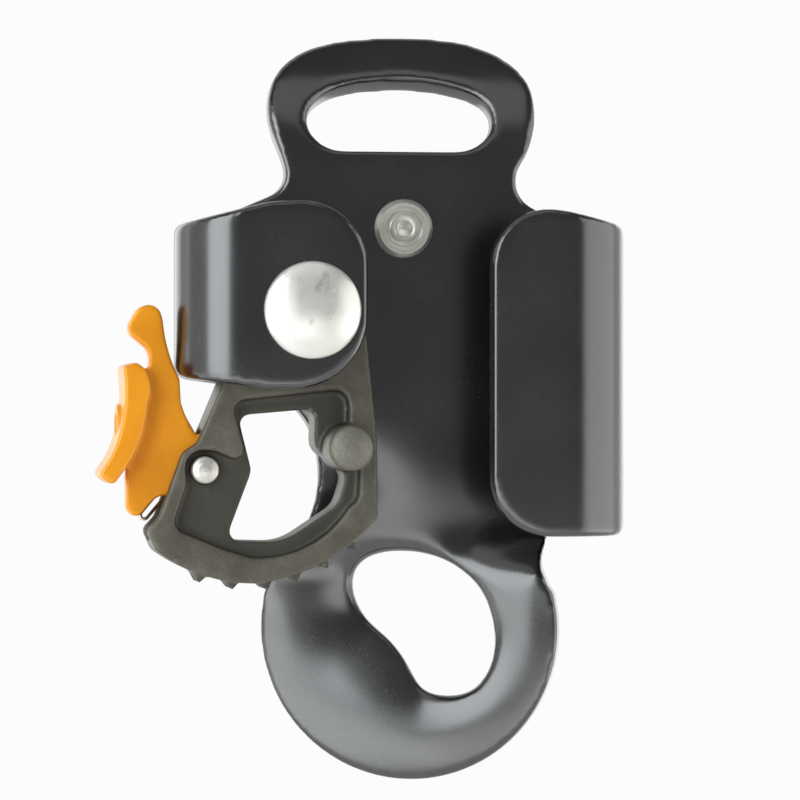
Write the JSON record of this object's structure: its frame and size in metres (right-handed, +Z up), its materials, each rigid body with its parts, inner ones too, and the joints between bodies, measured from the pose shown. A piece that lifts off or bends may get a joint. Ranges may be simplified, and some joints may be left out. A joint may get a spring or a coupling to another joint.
{
  "type": "ventral rope clamp",
  "caption": "Folded-plate chest rope clamp with a spiked cam, a sprung safety catch, a strap loop above and a round connector ring below.",
  "frame": {"origin": "centre of the connector eye, half way through the plate", "axes": "+Z up to the strap loop, +X to the rope channel, +Y out of the flat rear face of the plate; the flaps and the cam face -Y"},
  "size_m": [0.0896, 0.0363, 0.1281],
  "materials": {
    "black_anodised": "black anodised, satin",
    "cast_steel": "investment cast, bead blasted",
    "polished_steel": "polished",
    "turned_steel": "turned, satin",
    "spring_wire": "drawn wire",
    "orange_anodised": "orange anodised, satin"
  },
  "bodies": {
    "frame": {"frame": "black_anodised", "pivot_rivet": "polished_steel", "pivot_sleeve": "turned_steel", "cam_spring": "spring_wire", "frame_rivet": "turned_steel"},
    "cam": {"cam": "cast_steel", "catch_pin": "turned_steel", "catch_spring": "spring_wire"},
    "catch": {"safety_catch": "orange_anodised"}
  },
  "joints": [
    {"name": "cam_pivot", "type": "hinge", "parent": "frame", "child": "cam", "pos_m": [-0.0221, -0.00925, 0.054], "axis": [0, -1, 0], "range_deg": [0, 75], "deforming": ["cam_spring"]},
    {"name": "catch_pivot", "type": "hinge", "parent": "cam", "child": "catch", "pos_m": [-0.0392, -0.00955, 0.0274], "axis": [0, -1, 0], "range_deg": [0, 15], "stiffness_Nm_per_rad": 0.04, "springref_deg": -17.19, "deforming": ["catch_spring"]}
  ]
}
